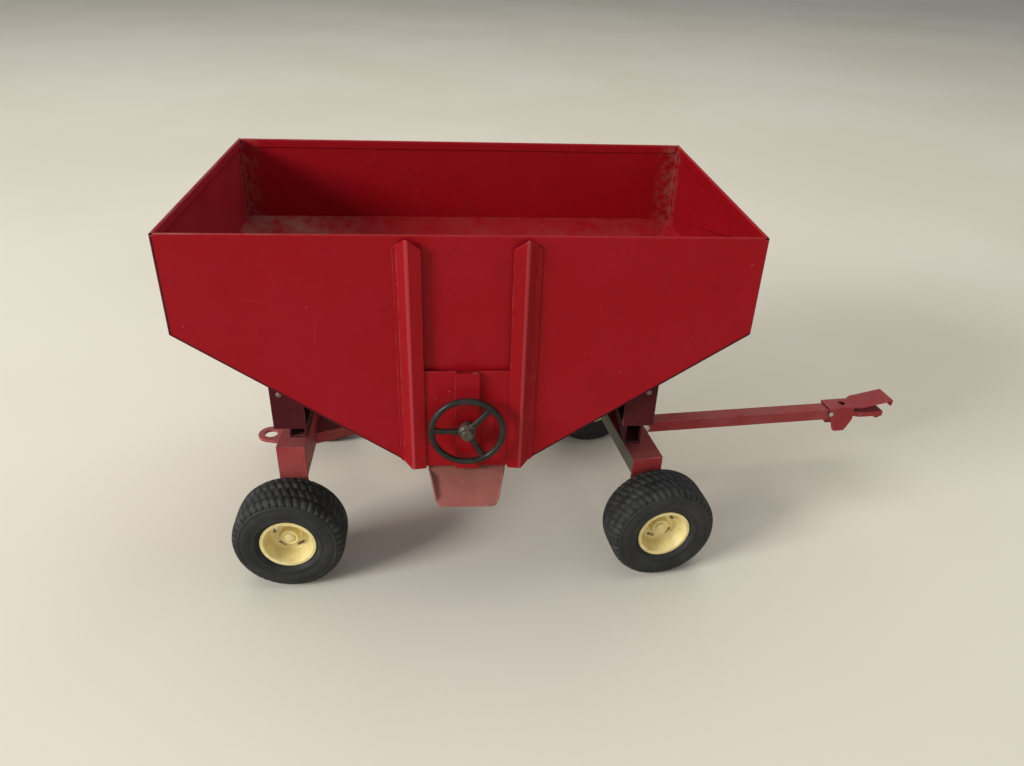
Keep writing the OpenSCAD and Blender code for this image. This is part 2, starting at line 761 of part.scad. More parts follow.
// Sprung upper jaw: a saddle over the tongue, two side lobes, a dished hole and a rising plate
module hitch_clip() {
    t = clip_t;
    back = clip_pin_x - 1.9;
    saddle_end = back + 15.6;
    plate_half = 6.5;
    rise = 10;
    plate_len = 22;
    tip_x = saddle_end + plate_len;
    tip_z = clip_z + plate_len * tan(rise);
    lobe_z = -10.8;
    color(dull_paint) on_tongue() difference() {
        union() {
            intersection() {
                along_y(-plate_half, plate_half)
                    polygon([[back, clip_z], [saddle_end, clip_z], [tip_x - t, tip_z],
                             [tip_x - t, tip_z - 2.8], [tip_x, tip_z - 2.8], [tip_x, tip_z + t],
                             [saddle_end, clip_z + t], [back, clip_z + t]]);
                linear_extrude(height = 2 * plate_len)
                    polygon([[back - 1, -clip_half], [saddle_end, -clip_half], [saddle_end + 3, -plate_half],
                             [tip_x + 1, -plate_half], [tip_x + 1, plate_half], [saddle_end + 3, plate_half],
                             [saddle_end, clip_half], [back - 1, clip_half]]);
            }
            for (s = [-1, 1])
                along_y(min(s * clip_half, s * (clip_half - t)), max(s * clip_half, s * (clip_half - t)))
                    polygon([[back, clip_z + t / 2], [saddle_end, clip_z + t / 2], [saddle_end + 0.6, -3.6],
                             [saddle_end - 2, lobe_z + 1.5], [saddle_end - 3, lobe_z],
                             [back + 6.4, lobe_z], [back + 5, lobe_z + 1.5]]);
        }
        translate([saddle_end - 5.2, 0, clip_z - 1]) cylinder(r = 2.1, h = 4);
        translate([clip_pin_x, 20, clip_pin_z]) rotate([90, 0, 0])
            cylinder(r = clip_pin_r + pin_gap, h = 40);
    }
}

// ---------- Wheels ----------

// Places a wheel built along +Z so that +Z points outwards; side is -1 on the near side
module at_wheel(side, spacing) {
    translate([0, side * spacing / 2, axle_z]) rotate([-side * 90, 0, 0]) children();
}

module at_rear(side) {
    translate([rear_x, 0, 0]) at_wheel(side, rear_track) children();
}

module at_front(side) {
    steered() translate([spindle_lead, 0, 0]) at_wheel(side, front_track) children();
}

module tyre() {
    bead = rim_r;
    half = tyre_half;
    color(rubber) rotate_extrude($fn = 96)
        polygon(concat([[bead, -rim_half], [bead + 1.2, -rim_half], [bead + 3.6, -half + 0.5]],
                       arc(tyre_r - 5.2, -half + 3.4, 3.4, 262, 292, 3),
                       [[tyre_r - 1.1, -half + 2.4], [tyre_r - 0.35, -half + 4.2], [tyre_r, -half + 7],
                        [tyre_r, half - 7], [tyre_r - 0.35, half - 4.2], [tyre_r - 1.1, half - 2.4]],
                       arc(tyre_r - 5.2, half - 3.4, 3.4, 68, 98, 3),
                       [[bead + 3.6, half - 0.5], [bead + 1.2, rim_half], [bead, rim_half]]));
}

// Dished rim with a through hub and a ring of slots; hub_back is the hub's inward length
module rim(hub_back, turn = 0) {
    lip_t = 0.6;
    barrel_t = 1.2;
    web_r = slot_ring_r + slot_w / 2 + 0.4;
    web_top = 1.2;
    web_t = 1.2;
    collar = 0.5;
    barrel_in = rim_r - barrel_t;
    color(rim_plastic) difference() {
        rotate_extrude($fn = 96)
            polygon([[spindle_r + pin_gap, -hub_back], [hub_outer_r, -hub_back],
                     [hub_outer_r, web_top - web_t], [web_r, web_top - web_t],
                     [barrel_in - 1, web_top + 0.6], [barrel_in - 0.3, web_top + 2.2],
                     [barrel_in, web_top + 4], [barrel_in, -rim_half],
                     [rim_r, -rim_half], [rim_r, rim_half], [rim_r + 0.4, rim_half],
                     [rim_r + 0.4, rim_half + lip_t], [rim_r - 1.1, rim_half + lip_t],
                     [rim_r - 1.6, rim_half - 0.6], [rim_r - 2.5, web_top + 3.6],
                     [rim_r - 3, web_top + 1.5], [web_r + 0.4, web_top + 0.5], [web_r - 0.3, web_top],
                     [hub_outer_r + 0.9, web_top], [hub_outer_r + 0.3, web_top + 0.5],
                     [hub_outer_r, hub_front - 0.2], [hub_outer_r - 0.4, hub_front + collar],
                     [hub_outer_r - 0.8, hub_front + collar], [hub_outer_r - 1, hub_front],
                     [spindle_r + pin_gap, hub_front]]);
        for (i = [0:slot_count - 1])
            rotate([0, 0, i * 360 / slot_count + slot_first + turn])
                translate([slot_ring_r, 0, web_top - web_t - 1]) {
                    translate([-slot_w / 2, -(slot_l - slot_w) / 2, 0])
                        cube([slot_w, slot_l - slot_w, web_t + 3]);
                    for (s = [-1, 1])
                        translate([0, s * (slot_l - slot_w) / 2, 0])
                            cylinder(r = slot_w / 2, h = web_t + 3, $fn = 24);
                }
    }
}

// Headed spindle riveted into an axle end plate; depth runs from the wheel centre to the plate
module spindle(depth) {
    inner = -depth - gear_sheet;
    outer = hub_front + 0.2;
    color(steel) {
        translate([0, 0, inner]) cylinder(r = spindle_r, h = outer - inner);
        translate([0, 0, outer]) rivet_head(spindle_r + 0.6, 1.1);
        translate([0, 0, inner]) mirror([0, 0, 1]) rivet_head(spindle_r + 1.2, 1);
    }
}

module tyre_rear_near() { at_rear(-1) tyre(); }
module tyre_rear_far() { at_rear(1) tyre(); }
module tyre_front_near() { at_front(-1) tyre(); }
module tyre_front_far() { at_front(1) tyre(); }
module rim_rear_near() { at_rear(-1) rim(rear_hub - hub_gap); }
module rim_rear_far() { at_rear(1) rim(rear_hub - hub_gap); }
module rim_front_near() { at_front(-1) rim(front_hub - hub_gap, front_slot_turn); }
module rim_front_far() { at_front(1) rim(front_hub - hub_gap, front_slot_turn); }
module spindle_rear_near() { at_rear(-1) spindle(rear_hub); }
module spindle_rear_far() { at_rear(1) spindle(rear_hub); }
module spindle_front_near() { at_front(-1) spindle(front_hub); }
module spindle_front_far() { at_front(1) spindle(front_hub); }

discharge_panel();
end_panel(1);  // front_end_panel
end_panel(-1);  // rear_end_panel
back_panel();
guide_rib(1);  // front_guide_rib
guide_rib(-1);  // rear_guide_rib
gate_cover();
sliding_gate();
gate_rack();
pinion_shaft();
handwheel();
chute();
front_leg();
rear_leg();
leg_rivets();
rear_axle();
rear_axle_rivets();
reach();
rear_hitch();
front_axle();
kingpin();
kingpin_washer();
tongue_bracket();
tongue();
tongue_pin();
hitch_clip();
hitch_clip_pin();
tyre_rear_near();
tyre_rear_far();
tyre_front_near();
tyre_front_far();
rim_rear_near();
rim_rear_far();
rim_front_near();
rim_front_far();
spindle_rear_near();
spindle_rear_far();
spindle_front_near();
spindle_front_far();
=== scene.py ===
"""Looks of the toy gravity wagon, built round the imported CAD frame.

The four tyres and the handwheel are rebuilt in more detail; every other CAD node is copied with eased edges.
The shared frame puts the tongue towards +X, the discharge panel towards -Y and the ground at Z = 0.
Lengths are in metres, or in millimetres where a name or a comment says so. Noise scales are in cells per metre.
"""

import json
import math

import bmesh
import bpy
from mathutils import Matrix, Vector


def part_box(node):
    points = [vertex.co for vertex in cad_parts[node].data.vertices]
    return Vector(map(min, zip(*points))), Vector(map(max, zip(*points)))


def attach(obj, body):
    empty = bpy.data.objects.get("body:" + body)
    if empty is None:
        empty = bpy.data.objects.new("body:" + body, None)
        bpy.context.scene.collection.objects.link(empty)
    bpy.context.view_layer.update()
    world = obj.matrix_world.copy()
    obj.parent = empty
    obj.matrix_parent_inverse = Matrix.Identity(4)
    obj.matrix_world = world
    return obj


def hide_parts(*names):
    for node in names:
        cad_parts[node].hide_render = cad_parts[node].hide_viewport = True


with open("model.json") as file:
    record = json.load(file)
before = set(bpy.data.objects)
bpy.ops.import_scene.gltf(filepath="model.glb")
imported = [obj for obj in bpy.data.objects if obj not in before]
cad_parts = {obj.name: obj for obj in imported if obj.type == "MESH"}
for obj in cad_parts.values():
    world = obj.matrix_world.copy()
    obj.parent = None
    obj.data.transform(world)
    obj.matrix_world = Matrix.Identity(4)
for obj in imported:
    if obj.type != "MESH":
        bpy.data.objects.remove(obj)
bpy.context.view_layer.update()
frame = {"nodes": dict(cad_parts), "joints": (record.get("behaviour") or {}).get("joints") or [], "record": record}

MM = 0.001
NODES = frame["nodes"]
BODY_OF = {n: b for b, members in frame["record"]["behaviour"]["bodies"].items() for n in members}
JOINTS = {j["name"]: j for j in frame["joints"]}

# Colours of paint, wear and dirt, and of painted light and shade, as linear red, green and blue
RUBBED_PAINT = (0.46, 0.2, 0.17)
BARE_METAL = (0.34, 0.31, 0.28)
SCRATCHED_PAINT = (0.4, 0.1, 0.1)
CHIPPED_PAINT = (0.45, 0.24, 0.21)
# Painted highlight: the pale red given to the crests of the wide folds
CREST_PAINTED_HIGHLIGHT = (0.42, 0.06, 0.07)
# Painted light: the paler, bluish red laid on the rear end wall's inner face
REAR_WALL_PAINTED_LIGHT = (0.42, 0.026, 0.042)
GRAIN_DUST = (0.25, 0.135, 0.105)
RUST = (0.16, 0.07, 0.035)
TYRE_DUST = (0.12, 0.117, 0.105)
TYRE_SPECKS = (0.1, 0.097, 0.088)
FLOOR_DUST = (0.22, 0.2, 0.17)
CHUTE_PAINT = (0.225, 0.056, 0.045)
CHUTE_FADED = (0.27, 0.078, 0.06)
CHUTE_STAIN = (0.2, 0.085, 0.055)
# Painted shade: the darker brown of the chute's upper part, under the hopper
CHUTE_PAINTED_SHADE = (0.155, 0.06, 0.035)
CHUTE_RUBBED = (0.34, 0.17, 0.14)
CHUTE_BARE = (0.3, 0.22, 0.18)
RUBBER_BLACK = (0.012, 0.0125, 0.0115)
RUBBER_BLOOM = (0.024, 0.024, 0.0215)
FLOOR_PALE = (0.63, 0.575, 0.455)
FLOOR_PALER = (0.665, 0.61, 0.5)

# The noise that bends scratches: its scale as a share of theirs, and how far it moves them
DRIFT_SHARE = 0.4
CELL_BEND = 0.02

CORNER_DUST_W = 11 * MM
CORNER_DUST_FADE = 9 * MM


# ---------- Material helpers ----------


class Finish:
    """One material's node tree, with short calls for the nodes that the finishes share."""

    def __init__(self, name, **sockets):
        self.material = bpy.data.materials.new(name)
        self.material.use_nodes = True
        self.tree = self.material.node_tree
        self.tree.nodes.clear()
        out = self.tree.nodes.new("ShaderNodeOutputMaterial")
        self.shader = self.tree.nodes.new("ShaderNodeBsdfPrincipled")
        self.tree.links.new(self.shader.outputs["BSDF"], out.inputs["Surface"])
        self.where = self.tree.nodes.new("ShaderNodeTexCoord").outputs["Object"]
        self.facing = self.tree.nodes.new("ShaderNodeNewGeometry").outputs["Normal"]
        for socket, value in sockets.items():
            self.put(self.shader.inputs[socket.replace("_", " ")], value)

    def put(self, socket, value):
        if isinstance(value, bpy.types.NodeSocket):
            self.tree.links.new(value, socket)
        elif isinstance(value, (tuple, list)) and len(value) == 3 and socket.type == "RGBA":
            socket.default_value = (*value, 1)
        else:
            socket.default_value = value

    def node(self, kind, settings=None, **inputs):
        made = self.tree.nodes.new(kind)
        for key, value in (settings or {}).items():
            setattr(made, key, value)
        for key, value in inputs.items():
            self.put(made.inputs[key.replace("_", " ")], value)
        return made

    def noise(self, scale, detail=3.0, rough=0.55, where=None):
        made = self.node("ShaderNodeTexNoise", Scale=scale, Detail=detail, Roughness=rough)
        self.put(made.inputs["Vector"], where or self.where)
        return made.outputs["Fac"]

    def stretched(self, sx, sy, sz):
        made = self.node("ShaderNodeMapping", Scale=(sx, sy, sz))
        self.put(made.inputs["Vector"], self.where)
        return made.outputs["Vector"]

    def ramp(self, value, low, high, to_low=0.0, to_high=1.0):
        made = self.node("ShaderNodeMapRange", {"interpolation_type": "SMOOTHSTEP"})
        for key, amount in (("Value", value), ("From Min", low), ("From Max", high), ("To Min", to_low),
                            ("To Max", to_high)):
            self.put(made.inputs[key], amount)
        return made.outputs["Result"]

    def math(self, operation, a, b=0.0):
        made = self.node("ShaderNodeMath", {"operation": operation})
        self.put(made.inputs[0], a)
        self.put(made.inputs[1], b)
        return made.outputs[0]

    def times(self, *values):
        product = values[0]
        for value in values[1:]:
            product = self.math("MULTIPLY", product, value)
        return product

    def plus(self, *values):
        total = values[0]
        for value in values[1:]:
            total = self.math("ADD", total, value)
        return total

    def mix(self, amount, a, b):
        made = self.node("ShaderNodeMix", {"data_type": "RGBA"})
        self.put(made.inputs[0], amount)
        self.put(made.inputs[6], a)
        self.put(made.inputs[7], b)
        return made.outputs[2]

    def attribute(self, name):
        return self.node("ShaderNodeAttribute", {"attribute_name": name}).outputs["Fac"]

    def axis(self, vector, letter):
        made = self.node("ShaderNodeSeparateXYZ")
        self.put(made.inputs[0], vector)
        return made.outputs[letter]

    def upward(self, low, high):
        return self.ramp(self.axis(self.facing, "Z"), low, high)

    def inward(self):
        """1 on faces that look towards the middle of the hopper."""
        sides = [self.math("SIGN", self.axis(self.where, letter)) for letter in "XY"]
        outward = [self.times(side, self.axis(self.facing, letter)) for side, letter in zip(sides, "XY")]
        return self.ramp(self.math("MINIMUM", *outward), -0.3, -0.5)

    def scratches(self, scale, width, spread):
        """Thin marks along the edges of bent cells, kept where a slow noise is high."""
        bent = self.node("ShaderNodeVectorMath", {"operation": "ADD"})
        self.put(bent.inputs[0], self.where)
        drift = self.node("ShaderNodeTexNoise", Scale=scale * DRIFT_SHARE, Detail=1.0)
        self.put(drift.inputs["Vector"], self.where)
        small = self.node("ShaderNodeVectorMath", {"operation": "SCALE"})
        self.put(small.inputs[0], drift.outputs["Color"])
        self.put(small.inputs["Scale"], CELL_BEND)
        self.put(bent.inputs[1], small.outputs[0])
        cells = self.node("ShaderNodeTexVoronoi", {"feature": "DISTANCE_TO_EDGE"}, Scale=scale)
        self.put(cells.inputs["Vector"], bent.outputs[0])
        line = self.ramp(cells.outputs["Distance"], 0.0, width, 1.0, 0.0)
        return self.times(line, self.ramp(self.noise(scale * 1.7, 2), 1 - spread, 1 - spread * 0.8))

    def bump(self, height, distance, normal=None):
        made = self.node("ShaderNodeBump", Height=height, Distance=distance, Strength=1.0)
        if normal is not None:
            self.put(made.inputs["Normal"], normal)
        return made.outputs["Normal"]

    def finish(self, colour, roughness, normal):
        self.put(self.shader.inputs["Base Color"], colour)
        self.put(self.shader.inputs["Roughness"], roughness)
        self.put(self.shader.inputs["Normal"], normal)
        return self.material


def inside_dust(f, settled):
    """Grain dust inside the hopper: mostly towards -X on the floor, and in the far corners."""
    left = f.ramp(f.math("MULTIPLY", f.axis(f.where, "X"), -1.0), 0.03, 0.098, 0.14, 1.0)
    corner_x = f.math("SUBTRACT", f.math("ABSOLUTE", f.axis(f.where, "X")), HOPPER_X - CORNER_DUST_W)
    corner_y = f.math("SUBTRACT", f.axis(f.where, "Y"), HOPPER_Y - CORNER_DUST_W)
    corner = f.ramp(f.math("MINIMUM", corner_x, corner_y), -0.002, CORNER_DUST_FADE)
    corner = f.times(corner, f.ramp(f.noise(240, 5, 0.7), 0.38, 0.66), 0.4, f.inward())
    return f.math("MAXIMUM", f.times(settled, left), corner)


def enamel(name, colour, faded, fade, rough, dust, wear, coat, inside=False):
    """Sprayed enamel on pressed steel: uneven colour, worn folds, a painted highlight on the wide folds' crests,
    fine scratches, dust where it faces up; inside the hopper, painted light on the rear end wall's inner face.
    """
    f = Finish(name, Coat_Weight=coat, Coat_Roughness=0.3, IOR=1.5, Specular_IOR_Level=0.08)
    mottled = f.noise(190, 5, 0.62)
    base = f.mix(f.times(f.ramp(f.noise(26, 3), 0.38, 0.66), fade), colour, faded)
    base = f.mix(f.times(f.ramp(mottled, 0.5, 0.72), 0.22), base, [c * 0.62 for c in colour])
    # Painted highlight: the faces on the wide folds' crests are lightened towards a pale red
    base = f.mix(f.times(f.attribute("crest"), 0.45), base, CREST_PAINTED_HIGHLIGHT)
    edge = f.attribute("edge")
    rubbed = f.times(edge, f.ramp(f.noise(150, 4, 0.7), 0.44, 0.62), wear)
    base = f.mix(rubbed, base, RUBBED_PAINT)
    bare = f.times(edge, f.ramp(f.noise(420, 3, 0.7), 0.6, 0.66), f.ramp(f.noise(60, 2), 0.5, 0.62), wear)
    base = f.mix(bare, base, BARE_METAL)
    marks = f.scratches(34, 0.012, 0.46)
    base = f.mix(f.times(marks, 0.05), base, SCRATCHED_PAINT)
    chips = f.times(f.ramp(f.noise(520, 2, 0.5), 0.74, 0.77), f.ramp(f.noise(38, 2), 0.56, 0.68))
    base = f.mix(f.times(chips, 0.3), base, CHIPPED_PAINT)
    settled = f.times(f.upward(0.35, 0.95), f.ramp(f.noise(95, 6, 0.7), 0.3, 0.68), dust)
    if inside:
        settled = inside_dust(f, settled)
        # Painted light and reflection: the rear end wall's inner face, which looks towards +X, is lightened
        # towards a paler, bluish red
        rear_wall = f.ramp(f.axis(f.where, "X"), -0.02, -0.06)
        rear_wall_painted_light = f.times(f.ramp(f.axis(f.facing, "X"), 0.6, 0.9), rear_wall, 0.85)
        base = f.mix(f.times(rear_wall_painted_light, f.ramp(f.noise(40, 3), 0.1, 0.7, 0.6, 1.0)), base, REAR_WALL_PAINTED_LIGHT)
    base = f.mix(settled, base, GRAIN_DUST)
    uneven = f.times(f.ramp(mottled, 0.35, 0.7), 0.12)
    roughness = f.plus(rough, uneven, f.times(settled, 0.4), f.times(rubbed, 0.12))
    waves = f.bump(f.noise(13, 2), 0.0011)
    skin = f.bump(f.noise(2300, 2, 0.6), 0.000012, waves)
    cut = f.bump(f.plus(f.times(marks, -1.0), f.times(chips, -1.0)), 0.00003, skin)
    return f.finish(base, roughness, cut)


def worn_chute(name):
    """Enamel rubbed thin by grain, down to primer and bare streaks along the fall, with painted shade darkening
    its upper part under the hopper.
    """
    f = Finish(name, Coat_Weight=0.05, Coat_Roughness=0.4, IOR=1.5, Specular_IOR_Level=0.3)
    streak = f.noise(1.0, 4, 0.6, f.stretched(120, 60, 60))
    cloud = f.noise(150, 4, 0.6)
    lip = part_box("chute")[0].z
    above_lip = f.ramp(f.axis(f.where, "Z"), lip + 3 * MM, lip + 13 * MM)
    base = f.mix(f.ramp(streak, 0.3, 0.7), CHUTE_PAINT, CHUTE_FADED)
    base = f.mix(f.times(f.ramp(cloud, 0.42, 0.7), 0.4), base, CHUTE_STAIN)
    # Painted shade: the chute is darkened from just above its lip upwards, where the hopper shades it
    base = f.mix(f.times(above_lip, 0.6), base, CHUTE_PAINTED_SHADE)
    edge = f.times(f.attribute("edge"), f.ramp(f.noise(300, 3), 0.4, 0.6))
    base = f.mix(f.times(edge, 0.25), base, CHUTE_RUBBED)
    bare = f.times(f.ramp(f.noise(1.0, 3, 0.6, f.stretched(500, 160, 160)), 0.64, 0.74), 0.25)
    base = f.mix(bare, base, CHUTE_BARE)
    roughness = f.plus(0.46, f.times(cloud, 0.22))
    skin = f.bump(f.noise(1700, 2), 0.000015, f.bump(f.noise(40, 2), 0.0005))
    return f.finish(base, roughness, skin)


def dull_steel(name, tint, rough=0.42, rust=0.2):
    """Plated steel gone dull, with a few brown spots."""
    f = Finish(name, Metallic=0.85, IOR=2.2)
    brushed = f.noise(1.0, 3, 0.6, f.stretched(300, 300, 2600))
    spots = f.times(f.ramp(f.noise(430, 4, 0.7), 0.56, 0.7), rust)
    base = f.mix(f.ramp(brushed, 0.3, 0.7), [c * 0.78 for c in tint], tint)
    base = f.mix(spots, base, RUST)
    roughness = f.plus(rough, f.times(f.noise(500, 3), 0.18), f.times(spots, 0.3))
    return f.finish(base, roughness, f.bump(brushed, 0.00001))


def moulded(name, colour, pale, rough, grime, grime_colour, coat, shine=0.5):
    """Moulded plastic with slight sink marks, patches of dirt and scuffed edges."""
    f = Finish(name, Coat_Weight=coat, Coat_Roughness=0.25, IOR=1.48, Specular_IOR_Level=shine)
    cloud = f.noise(110, 3)
    speck = f.noise(900, 4, 0.65)
    base = f.mix(f.ramp(cloud, 0.36, 0.66), colour, pale)
    dirt = f.times(f.ramp(f.noise(260, 5, 0.65), 0.46, 0.72), grime)
    base = f.mix(dirt, base, grime_colour)
    base = f.mix(f.times(f.ramp(speck, 0.6, 0.7), grime * 0.6), base, grime_colour)
    rubbed = f.times(f.attribute("worn"), f.ramp(f.noise(330, 3), 0.2, 0.6), 0.85)
    base = f.mix(rubbed, base, [c * 1.25 for c in grime_colour])
    scuff = f.times(f.attribute("edge"), f.ramp(f.noise(380, 3), 0.42, 0.6), 0.35)
    base = f.mix(scuff, base, [min(1, c * 1.6 + 0.03) for c in pale])
    roughness = f.plus(rough, f.times(cloud, 0.14), f.times(dirt, 0.3))
    return f.finish(base, roughness, f.bump(f.noise(1500, 2), 0.000012, f.bump(cloud, 0.00012)))


def rubber(name):
    """Old moulded rubber: grey bloom, specks of dirt, and dust on the lugs and near the ground."""
    f = Finish(name, IOR=1.5, Specular_IOR_Level=0.25)
    cloud = f.noise(85, 4, 0.6)
    speck = f.noise(720, 4, 0.7)
    lug = f.attribute("lug")
    base = f.mix(f.ramp(cloud, 0.35, 0.7), RUBBER_BLACK, RUBBER_BLOOM)
    dust = f.times(f.ramp(f.noise(210, 5, 0.68), 0.4, 0.68), f.plus(0.05, f.times(lug, 0.22)))
    base = f.mix(dust, base, TYRE_DUST)
    base = f.mix(f.times(f.ramp(speck, 0.6, 0.72), 0.14), base, TYRE_SPECKS)
    lowest = f.ramp(f.axis(f.where, "Z"), 0.0, 0.004, 0.35, 0.0)
    base = f.mix(f.times(lowest, f.ramp(speck, 0.4, 0.6)), base, FLOOR_DUST)
    roughness = f.plus(0.58, f.times(cloud, 0.12), f.times(dust, 0.35))
    skin = f.bump(f.noise(1300, 3, 0.6), 0.00003, f.bump(f.noise(160, 3), 0.00018))
    return f.finish(base, roughness, skin)


HOPPER_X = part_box("front_end_panel")[1].x
HOPPER_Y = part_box("back_panel")[1].y

PAINT = enamel("hopper_enamel", (0.245, 0.003, 0.006), (0.258, 0.005, 0.0105),
               fade=0.5, rough=0.36, dust=0.6, wear=0.12, coat=0.03, inside=True)
GEAR = enamel("gear_enamel", (0.27, 0.03, 0.031), (0.33, 0.08, 0.071),
              fade=0.8, rough=0.44, dust=0.4, wear=0.4, coat=0.05)
# Painted shade: the legs are a near-black red, standing in for the shade under the hopper
LEG_PAINTED_SHADE = enamel("leg_painted_shade_enamel", (0.052, 0.005, 0.007), (0.064, 0.009, 0.01),
             fade=0.6, rough=0.5, dust=0.2, wear=0.2, coat=0.02)
TONGUE = enamel("tongue_enamel", (0.29, 0.033, 0.034), (0.35, 0.07, 0.064),
                fade=0.8, rough=0.46, dust=0.35, wear=0.5, coat=0.05)
# Painted shade: a near-black red for the shadowed gap round the discharge panel
GAP_PAINTED_SHADE = enamel("gap_painted_shade_enamel", (0.035, 0.004, 0.008), (0.05, 0.01, 0.014),
              fade=0.5, rough=0.6, dust=0.0, wear=0.0, coat=0.0)
CHUTE = worn_chute("chute_enamel")
STEEL = dull_steel("plated_steel", (0.52, 0.5, 0.46))
BARE = dull_steel("bare_steel", (0.2, 0.21, 0.17), rough=0.5, rust=0.35)
RIVET = dull_steel("rivet_steel", (0.2, 0.135, 0.125), rough=0.5, rust=0.3)
CREAM = moulded("cream_plastic", (0.68, 0.54, 0.215), (0.74, 0.61, 0.265),
                rough=0.4, grime=0.3, grime_colour=(0.36, 0.25, 0.09), coat=0.1)
DARK = moulded("dark_plastic", (0.0078, 0.0052, 0.0032), (0.0135, 0.01, 0.0065),
               rough=0.34, grime=0.25, grime_colour=(0.06, 0.047, 0.032), coat=0.06, shine=0.25)
RUBBER = rubber("old_rubber")
FINISHES = {
    "hopper_paint": PAINT,
    "gear_paint": GEAR,
    "tongue_paint": TONGUE,
    "chute_paint": CHUTE,
    "steel": STEEL,
    "handwheel_plastic": DARK,
    "tyre_rubber": RUBBER,
    "rim_plastic": CREAM,
}
OWN_FINISH = {"front_leg": LEG_PAINTED_SHADE, "rear_leg": LEG_PAINTED_SHADE, "leg_rivets": RIVET}


# ---------- Mesh helpers ----------

SAME_PLACE = 2e-6
SAME_PLANE = math.radians(0.5)
SHARP = math.radians(24)
SMOOTH = math.radians(50)
STEEPEST_FOLD = math.radians(110)
SHORTEST_FOLD = 6 * MM
NARROWEST_SIDE = 2.2 * MM

# The painted shade along the panel's border: its width, and what tells the panel's near face, its slopes and its
# ends from the rest
GAP_SHADE_W = 0.8 * MM
NEAR_FACING = -0.99
LEVEL_GAP = 0.02 * MM
TOUCHING = 1e-6
LEAST_SLANT = 0.3
SHORTEST_EDGE = 10 * MM
LEAST_OFFSET = 0.05 * MM
MIDDLE_HALF = 25 * MM


def add_piece(name, bm, node, materials):
    """Turns a bmesh in the row frame into a piece that stands for one CAD node."""
    mesh = bpy.data.meshes.new(name)
    bm.to_mesh(mesh)
    bm.free()
    obj = bpy.data.objects.new(name, mesh)
    bpy.context.scene.collection.objects.link(obj)
    for material in materials:
        mesh.materials.append(material)
    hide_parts(node)
    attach(obj, BODY_OF[node])
    return obj


def wide_fold(edge):
    """True for an outer fold between two faces that are both wider than the sheet is thick."""
    span = edge.calc_length()
    if len(edge.link_faces) != 2 or span < SHORTEST_FOLD or not edge.is_convex:
        return False
    narrowest = min(face.calc_area() for face in edge.link_faces) / span
    return narrowest > NARROWEST_SIDE and SHARP < edge.calc_face_angle() < STEEPEST_FOLD


def paint_gap_shade(bm):
    """Cuts a border off the near face along its ends and slopes and gives it the second material, a dark painted
    shade for the shadowed gap at the panel's edges.
    """
    face = max((f for f in bm.faces if f.normal.y < NEAR_FACING), key=lambda f: f.calc_area())
    facing = face.normal.copy()
    middle = face.calc_center_median()
    level = face.verts[0].co.y

    def near_faces():
        return [f for f in bm.faces if f.normal.y < NEAR_FACING and abs(f.verts[0].co.y - level) < LEVEL_GAP]

    cuts = []
    for loop in face.loops:
        start = loop.vert.co.copy()
        end = loop.link_loop_next.vert.co.copy()
        across = (end - start).cross(facing).normalized()
        slanted = abs(across.x) > LEAST_SLANT and (end - start).length > SHORTEST_EDGE
        outward = across.x * (start.x - middle.x) > LEAST_OFFSET
        reaches_out = max(abs(start.x - middle.x), abs(end.x - middle.x)) > MIDDLE_HALF
        if slanted and outward and reaches_out:
            cuts.append((start - across * GAP_SHADE_W, across))
    for place, across in cuts:
        near = near_faces()
        edges = dict.fromkeys(e for f in near for e in f.edges)
        verts = dict.fromkeys(v for f in near for v in f.verts)
        geom = [*near, *edges, *verts]
        bmesh.ops.bisect_plane(bm, geom=geom, plane_co=place, plane_no=across, dist=TOUCHING)
    for f in near_faces():
        if any((f.calc_center_median() - place).dot(across) > 0 for place, across in cuts):
            f.material_index = 1


def eased(node, width, extra=(), fold=0.0, seam=False):
    """A copy of a CAD node with rounded edges; "edge" marks the rounded faces and "crest" the wide folds."""
    source = NODES[node]
    slot = source.data.materials[0].name.split(".")[0]
    bm = bmesh.new()
    bm.from_mesh(source.data)
    bmesh.ops.remove_doubles(bm, verts=bm.verts, dist=SAME_PLACE)
    bmesh.ops.dissolve_limit(bm, angle_limit=SAME_PLANE, verts=bm.verts, edges=bm.edges)
    mask = bm.faces.layers.float.new("edge")
    crest = bm.faces.layers.float.new("crest")
    for face in bm.faces:
        face.material_index = 0
    if fold:
        folds = [e for e in bm.edges if wide_fold(e)]
        made = bmesh.ops.bevel(bm, geom=folds, offset=fold, offset_type="OFFSET", segments=4, profile=0.5,
                               affect="EDGES", clamp_overlap=False, loop_slide=True)
        for face in made["faces"]:
            face[crest] = 1.0
    # Painted shade: a thin border of the near face takes the dark second material
    if seam:
        paint_gap_shade(bm)
    edges = [e for e in bm.edges if len(e.link_faces) == 2 and e.calc_face_angle() > SHARP]
    made = bmesh.ops.bevel(bm, geom=edges, offset=width, offset_type="OFFSET", segments=2, profile=0.5,
                           affect="EDGES", clamp_overlap=False, loop_slide=True)
    for face in made["faces"]:
        face[mask] = 1.0
    for face in bm.faces:
        face.smooth = True
    for edge in bm.edges:
        edge.smooth = len(edge.link_faces) == 2 and edge.calc_face_angle() < SMOOTH
    finish = OWN_FINISH.get(node, FINISHES[slot])
    obj = add_piece(node + "_eased", bm, node, [finish, *extra])
    flat = obj.modifiers.new("flat_faces", "WEIGHTED_NORMAL")
    flat.keep_sharp = True
    return obj


def put_shell(bm, sections, closed_ring=False):
    """Joins equal loops of points into a skin; an open run gets end caps."""
    rings = [[bm.verts.new(p) for p in section] for section in sections]
    count = len(rings[0])
    pairs = list(zip(rings, rings[1:]))
    if closed_ring:
        pairs.append((rings[-1], rings[0]))
    for a, b in pairs:
        for i in range(count):
            j = (i + 1) % count
            bm.faces.new((a[i], a[j], b[j], b[i]))
    if not closed_ring:
        bm.faces.new(list(reversed(rings[0])))
        bm.faces.new(rings[-1])


